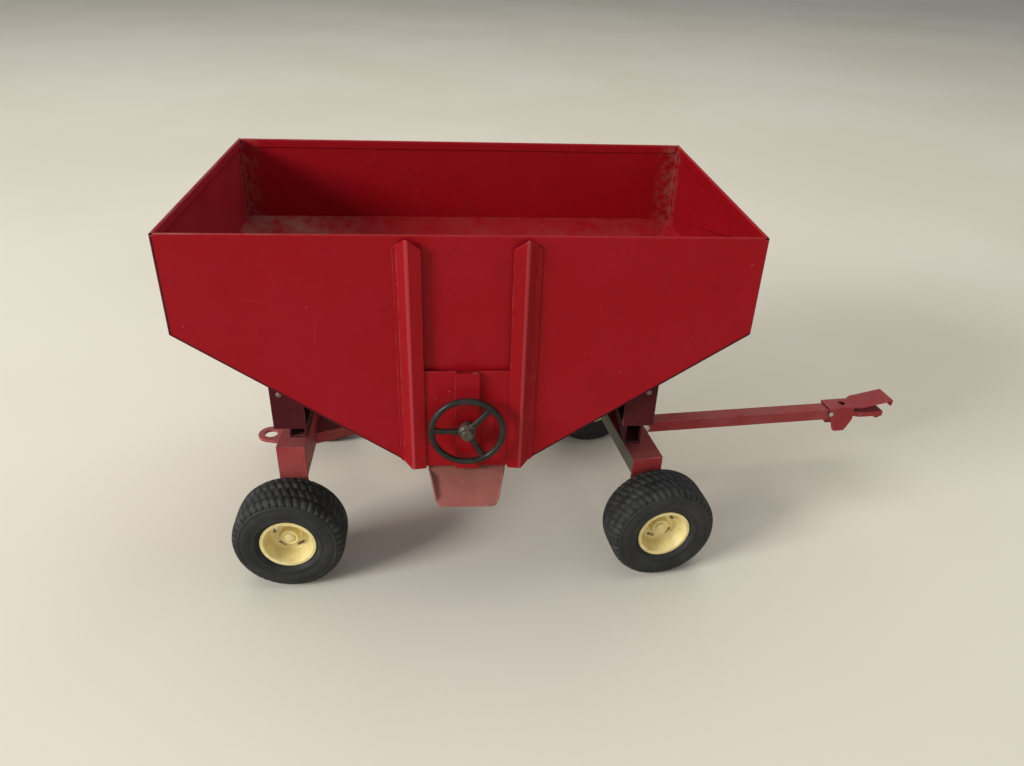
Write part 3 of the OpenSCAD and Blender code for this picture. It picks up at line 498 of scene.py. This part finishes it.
def lathe(bm, profile, steps):
    """Turns a closed (radius, height) outline about Z."""
    rings = []
    for i in range(steps):
        a = 2 * math.pi * i / steps
        rings.append([Vector((r * math.cos(a), r * math.sin(a), z)) for r, z in profile])
    put_shell(bm, rings, closed_ring=True)


# ---------- Tyres ----------

TREAD_DEPTH = 0.17 * MM
SHOULDER_LUG = 0.13 * MM
INNER_LUG = 0.155 * MM
SHOULDER_LUG_W = 2.6 * MM
INNER_LUG_W = 2.7 * MM
LUG_ROOT = 0.25 * MM
LUG_DRAFT = 0.14 * MM
LUGS_PER_ROW = 46
TYRE_STEPS = 120
TYRE_SMOOTH = math.radians(38)


def tyre_outline(radius, half, bead):
    """Closed (radius, height) outline: bead, sidewall with two rings, shoulder and tread bed."""
    bed = radius - TREAD_DEPTH
    side = [
        (bead, half - 2.7 * MM),
        (bead + 0.7 * MM, half - 2.6 * MM),
        (bead + 1.3 * MM, half - 2.1 * MM),
        (bead + 2.0 * MM, half - 1.25 * MM),
        (bead + 2.5 * MM, half - 0.85 * MM),
        (bead + 2.9 * MM, half - 0.62 * MM),
        (bead + 3.3 * MM, half - 0.7 * MM),
        (bead + 3.6 * MM, half - 0.85 * MM),
        (bead + 4.6 * MM, half - 0.5 * MM),
        (bead + 6.2 * MM, half - 0.2 * MM),
        (bead + 7.8 * MM, half - 0.22 * MM),
        (bead + 8.7 * MM, half - 0.5 * MM),
        (bead + 9.0 * MM, half - 0.62 * MM),
        (bead + 9.3 * MM, half - 0.5 * MM),
        (bead + 9.8 * MM, half - 0.34 * MM),
        (bead + 10.4 * MM, half - 0.55 * MM),
        (bead + 10.7 * MM, half - 1.05 * MM),
        (bead + 10.95 * MM, half - 1.6 * MM),
        (bed - 0.75 * MM, half - 2.5 * MM),
        (bed - 0.3 * MM, half - 3.6 * MM),
        (bed - 0.08 * MM, half - 5.2 * MM),
        (bed, half - 7.4 * MM),
    ]
    return side + [(r, -z) for r, z in reversed(side)]


def lug(bm, mask, line, middle, width, skew, height):
    """A raised block on the tread; each item of line is (share of the skew, (radius, height, normal))."""
    top, base = [], []
    for share, (r, z, n) in line:
        turn = middle + skew * share
        for store, lift, grow in ((top, height, 0.0), (base, -LUG_ROOT, LUG_DRAFT)):
            half = (width / 2 + grow) / r
            rr, zz = r + n[0] * lift, z + n[1] * lift
            store.append([Vector((rr * math.cos(turn + s * half), rr * math.sin(turn + s * half), zz))
                          for s in (-1, 1)])
    vt = [[bm.verts.new(p) for p in row] for row in top]
    vb = [[bm.verts.new(p) for p in row] for row in base]
    last = len(vt) - 1
    for i in range(last):
        face = bm.faces.new((vt[i][0], vt[i][1], vt[i + 1][1], vt[i + 1][0]))
        face[mask] = 1.0
        bm.faces.new((vb[i][1], vb[i][0], vb[i + 1][0], vb[i + 1][1]))
        bm.faces.new((vb[i][0], vt[i][0], vt[i + 1][0], vb[i + 1][0]))
        bm.faces.new((vt[i][1], vb[i][1], vb[i + 1][1], vt[i + 1][1]))
    bm.faces.new((vb[0][0], vb[0][1], vt[0][1], vt[0][0]))
    bm.faces.new((vt[last][0], vt[last][1], vb[last][1], vb[last][0]))


def build_tyre(node, joint, outward):
    """A tyre with moulded sidewalls and four rows of lugs.

    outward is 1 where the joint's axis points away from the wagon, else -1.
    """
    low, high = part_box(node)
    radius = (high.z - low.z) / 2
    axis = Vector(joint["axis"]).normalized() * outward
    centre = Vector(joint["pos_m"])
    from_centre = [Vector(v.co) - centre for v in NODES[node].data.vertices]
    half = max(abs(p.dot(axis)) for p in from_centre)
    bead = min((p - axis * p.dot(axis)).length for p in from_centre)
    bm = bmesh.new()
    mask = bm.faces.layers.float.new("lug")
    lathe(bm, tyre_outline(radius, half, bead), TYRE_STEPS)
    bed = radius - TREAD_DEPTH
    step = 2 * math.pi / LUGS_PER_ROW
    for i in range(LUGS_PER_ROW):
        turn = i * step
        for s in (-1, 1):
            stagger = step / 2 if s > 0 else 0.0
            shoulder = [
                (0.0, (bed - 2.5 * MM, s * (half - 0.95 * MM), (0.5, s * 0.866))),
                (0.3, (bed - 1.1 * MM, s * (half - 2.0 * MM), (0.8, s * 0.6))),
                (0.65, (bed - 0.35 * MM, s * (half - 3.5 * MM), (0.97, s * 0.25))),
                (1.0, (bed - 0.08 * MM, s * (half - 5.3 * MM), (1.0, 0.0))),
            ]
            lug(bm, mask, shoulder, turn + stagger, SHOULDER_LUG_W, s * 0.03, SHOULDER_LUG)
            inner = [
                (0.0, (bed - 0.04 * MM, s * (half - 6.2 * MM), (1.0, 0.0))),
                (1.0, (bed, s * 0.55 * MM, (1.0, 0.0))),
            ]
            lug(bm, mask, inner, turn + stagger + step / 2, INNER_LUG_W, s * 0.07, INNER_LUG)
    for face in bm.faces:
        face.smooth = True
    for edge in bm.edges:
        edge.smooth = len(edge.link_faces) == 2 and edge.calc_face_angle() < TYRE_SMOOTH
    across = Vector((0, 0, 1)).cross(axis).normalized()
    place = Matrix((across, axis.cross(across), axis)).transposed().to_4x4()
    bmesh.ops.transform(bm, matrix=Matrix.Translation(centre) @ place, verts=bm.verts)
    add_piece(node + "_moulded", bm, node, [RUBBER])


# ---------- Handwheel ----------

RING_TUBE = 1.35 * MM
RING_STEPS = 84
RING_SIDES = 18
SPOKE_TURNS = (178, 48, -62)
SPOKE_ROOT = 2.6 * MM
SPOKE_STEPS = 12
SPOKE_SIDES = 14
SPOKE_ROUND = 0.7
HUB_R = 3.6 * MM
HUB_STEPS = 40
WHEEL_SMOOTH = math.radians(48)


def add_ring(bm, ring_r, ring_z):
    """The wheel's rim: a tube that is a little flatter on its lower side."""
    rings = []
    for i in range(RING_STEPS):
        a = 2 * math.pi * i / RING_STEPS
        ring = []
        for k in range(RING_SIDES):
            b = 2 * math.pi * k / RING_SIDES
            out = math.cos(b) * RING_TUBE
            up = math.sin(b) * RING_TUBE * (1.0 if math.sin(b) > 0 else 0.82)
            ring.append(Vector(((ring_r + out) * math.cos(a), (ring_r + out) * math.sin(a), ring_z + up)))
        rings.append(ring)
    put_shell(bm, rings, closed_ring=True)


def add_hub(bm, ring_z, depth):
    """The hub, open at the back for the shaft."""
    lathe(bm, [
        (1.25 * MM, 0.0), (2.3 * MM, 0.0), (2.9 * MM, 0.25 * MM), (3.1 * MM, 0.7 * MM),
        (3.25 * MM, ring_z - 1.8 * MM), (3.3 * MM, ring_z - 1.1 * MM), (3.5 * MM, ring_z - 0.4 * MM),
        (3.5 * MM, ring_z + 0.5 * MM), (3.2 * MM, ring_z + 1.0 * MM), (2.75 * MM, ring_z + 1.25 * MM),
        (2.55 * MM, ring_z + 1.5 * MM), (2.5 * MM, depth - 0.7 * MM), (2.3 * MM, depth - 0.25 * MM),
        (1.8 * MM, depth - 0.02 * MM), (1.0 * MM, depth), (0.02 * MM, depth),
        (0.02 * MM, ring_z + 0.4 * MM), (1.25 * MM, ring_z + 0.4 * MM),
    ], HUB_STEPS)


def add_spoke(bm, angle, ring_r, ring_z):
    """A spoke with rounded corners that widens into the hub and the ring."""
    a = math.radians(angle)
    along = Vector((math.cos(a), math.sin(a), 0))
    side = Vector((-math.sin(a), math.cos(a), 0))
    sections = []
    for i in range(SPOKE_STEPS + 1):
        t = i / SPOKE_STEPS
        r = SPOKE_ROOT + (ring_r - SPOKE_ROOT) * t
        flare = 1.15 * MM + 0.75 * MM * abs(2 * t - 1) ** 3
        thick = 0.85 * MM + 0.15 * MM * abs(2 * t - 1) ** 3
        section = []
        for k in range(SPOKE_SIDES):
            b = 2 * math.pi * k / SPOKE_SIDES
            cx = math.copysign(abs(math.cos(b)) ** SPOKE_ROUND, math.cos(b))
            cy = math.copysign(abs(math.sin(b)) ** SPOKE_ROUND, math.sin(b))
            section.append(along * r + side * (cx * flare) + Vector((0, 0, ring_z + cy * thick)))
        sections.append(section)
    put_shell(bm, sections)


def build_handwheel():
    """The handwheel, made lying flat and then stood up to face the near side."""
    low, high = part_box("handwheel")
    radius = (high.x - low.x) / 2
    centre = Vector(((low.x + high.x) / 2, high.y, (low.z + high.z) / 2))
    depth = high.y - low.y
    ring_r = radius - RING_TUBE
    ring_z = depth - 3.75 * MM
    bm = bmesh.new()
    mask = bm.faces.layers.float.new("edge")
    worn = bm.faces.layers.float.new("worn")
    add_ring(bm, ring_r, ring_z)
    add_hub(bm, ring_z, depth)
    for angle in SPOKE_TURNS:
        add_spoke(bm, angle, ring_r, ring_z)
    for face in bm.faces:
        face.smooth = True
        middle = face.calc_center_median()
        from_axis = math.hypot(middle.x, middle.y)
        if from_axis > radius - 0.5 * MM or middle.z > depth - 0.4 * MM:
            face[mask] = 0.6
        if from_axis < HUB_R:
            face[worn] = 1.0
    bmesh.ops.recalc_face_normals(bm, faces=bm.faces)
    for edge in bm.edges:
        edge.smooth = len(edge.link_faces) == 2 and edge.calc_face_angle() < WHEEL_SMOOTH
    place = Matrix.Translation(centre) @ Matrix.Rotation(math.radians(90), 4, "X")
    bmesh.ops.transform(bm, matrix=place, verts=bm.verts)
    add_piece("handwheel_moulded", bm, "handwheel", [DARK])


# ---------- Pieces ----------

# Width of each node's rounded edges, in millimetres
EASED = {
    "discharge_panel": 0.16, "front_end_panel": 0.16, "rear_end_panel": 0.16, "back_panel": 0.16,
    "front_guide_rib": 0.22, "rear_guide_rib": 0.22, "gate_cover": 0.2, "sliding_gate": 0.18,
    "chute": 0.2, "front_leg": 0.26, "rear_leg": 0.26, "rear_axle": 0.26, "reach": 0.22,
    "rear_hitch": 0.3, "front_axle": 0.26, "tongue_bracket": 0.2, "tongue": 0.24, "hitch_clip": 0.2,
    "gate_rack": 0.05, "pinion_shaft": 0.05, "kingpin_washer": 0.1, "kingpin": 0.1, "tongue_pin": 0.1,
    "hitch_clip_pin": 0.06, "leg_rivets": 0.06, "rear_axle_rivets": 0.08,
    "rim_rear_near": 0.12, "rim_rear_far": 0.12, "rim_front_near": 0.12, "rim_front_far": 0.12,
}
# Width of the widely rounded folds, in millimetres
FOLDED = {"front_guide_rib": 0.85, "rear_guide_rib": 0.85, "tongue": 0.4}
pieces = {}
for node, width in EASED.items():
    gets_gap_shade = node == "discharge_panel"
    pieces[node] = eased(node, width * MM, fold=FOLDED.get(node, 0.0) * MM, seam=gets_gap_shade,
                         extra=(GAP_PAINTED_SHADE,) if gets_gap_shade else ())

# The end panels' near edges take the same dark painted shade as the border round the discharge panel
SHEET_EDGE = 1.2 * MM
FACES_NEAR = -0.6
panel_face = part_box("discharge_panel")[0].y
for node in ("front_end_panel", "rear_end_panel"):
    mesh = pieces[node].data
    mesh.materials.append(GAP_PAINTED_SHADE)
    for face in mesh.polygons:
        if face.normal.y < FACES_NEAR and face.center.y < panel_face + SHEET_EDGE:
            face.material_index = 1

# The front axle's broad rear faces are rubbed to bare steel
LEAST_BARE_AREA = 2e-6
FACES_BACK = 0.9
axle = pieces["front_axle"]
axle.data.materials.append(BARE)
back_way = Vector(JOINTS["wheel_front_near_spin"]["axis"]).normalized().cross(Vector((0, 0, 1)))
back_way = back_way if back_way.x < 0 else -back_way
for face in axle.data.polygons:
    if Vector(face.normal).dot(back_way) > FACES_BACK and face.area > LEAST_BARE_AREA:
        face.material_index = 1

# Each spindle's outer end is the cap in the middle of the rim, so it takes the rim's colour
CAP_START = 3.9 * MM
for place in ("rear_near", "rear_far", "front_near", "front_far"):
    joint = JOINTS["wheel_" + place + "_spin"]
    outward = 1 if Vector(joint["axis"]).y * Vector(joint["pos_m"]).y > 0 else -1
    build_tyre("tyre_" + place, joint, outward)
    spindle = eased("spindle_" + place, 0.08 * MM, extra=(CREAM,))
    axis = Vector(joint["axis"]).normalized() * outward
    for face in spindle.data.polygons:
        if (Vector(face.center) - Vector(joint["pos_m"])).dot(axis) > CAP_START:
            face.material_index = 1

build_handwheel()


# ---------- Stage, camera and lights ----------

FLOOR_R = 6.0
FLOOR_STEPS = 96
LENS_MM = 28.03
SENSOR_MM = 36
CAMERA_PLACE = Vector((-5.05, -350.45, 276.55)) * MM
CAMERA_RIGHT = Vector((0.99740, -0.06475, 0.03152)).normalized()
CAMERA_FORWARD = Vector((0.07179, 0.85967, -0.50579)).normalized()
SKY_COLOUR = (0.8, 0.86, 0.95, 1)
SKY_STRENGTH = 0.38


def make_floor():
    """A round pale floor that reaches past the picture's edges."""
    f = Finish("pale_floor", IOR=1.4, Specular_IOR_Level=0.2)
    cloud = f.noise(2.2, 3)
    base = f.mix(f.ramp(cloud, 0.35, 0.65), FLOOR_PALE, FLOOR_PALER)
    weave = f.noise(1500, 2)
    material = f.finish(base, 0.85, f.bump(weave, 0.00004))
    bm = bmesh.new()
    turns = [2 * math.pi * i / FLOOR_STEPS for i in range(FLOOR_STEPS)]
    bm.faces.new([bm.verts.new((FLOOR_R * math.cos(a), FLOOR_R * math.sin(a), 0)) for a in turns])
    mesh = bpy.data.meshes.new("stage_floor")
    bm.to_mesh(mesh)
    bm.free()
    floor = bpy.data.objects.new("stage_floor", mesh)
    mesh.materials.append(material)
    bpy.context.scene.collection.objects.link(floor)


def add_light(name, place, target, size, power, colour):
    """A rectangular area light at place, facing target; power is in watts."""
    data = bpy.data.lights.new(name, "AREA")
    data.shape = "RECTANGLE"
    data.size, data.size_y = size
    data.energy = power
    data.color = colour
    lamp = bpy.data.objects.new(name, data)
    lamp.location = place
    lamp.rotation_mode = "QUATERNION"
    lamp.rotation_quaternion = (Vector(target) - Vector(place)).to_track_quat("-Z", "Y")
    bpy.context.scene.collection.objects.link(lamp)


make_floor()
add_light("window", place=(-1.95, -1.1, 1.08), target=(0, 0, 0.1), size=(0.85, 0.65), power=58,
          colour=(0.95, 0.97, 1.0))
add_light("front_fill", place=(0.5, -1.9, 0.6), target=(0, 0, 0.08), size=(1.6, 0.8), power=7,
          colour=(0.98, 0.99, 1.0))
add_light("top", place=(0.0, 0.55, 2.2), target=(0.05, 0.1, 0.0), size=(2.4, 2.2), power=30,
          colour=(1.0, 0.985, 0.955))

world = bpy.data.worlds.new("studio")
world.use_nodes = True
sky = world.node_tree.nodes["Background"]
sky.inputs["Color"].default_value = SKY_COLOUR
sky.inputs["Strength"].default_value = SKY_STRENGTH
bpy.context.scene.world = world

camera_data = bpy.data.cameras.new("photo_camera")
camera_data.lens = LENS_MM
camera_data.sensor_width = SENSOR_MM
camera_data.clip_start = 0.01
camera = bpy.data.objects.new("photo_camera", camera_data)
up = CAMERA_RIGHT.cross(CAMERA_FORWARD).normalized()
turn = Matrix((CAMERA_RIGHT, up, -CAMERA_FORWARD)).transposed().to_4x4()
camera.matrix_world = Matrix.Translation(CAMERA_PLACE) @ turn
scene = bpy.context.scene
scene.collection.objects.link(camera)
scene.camera = camera
scene.view_settings.view_transform = "Standard"
scene.view_settings.look = "None"
scene.view_settings.exposure = 0.0
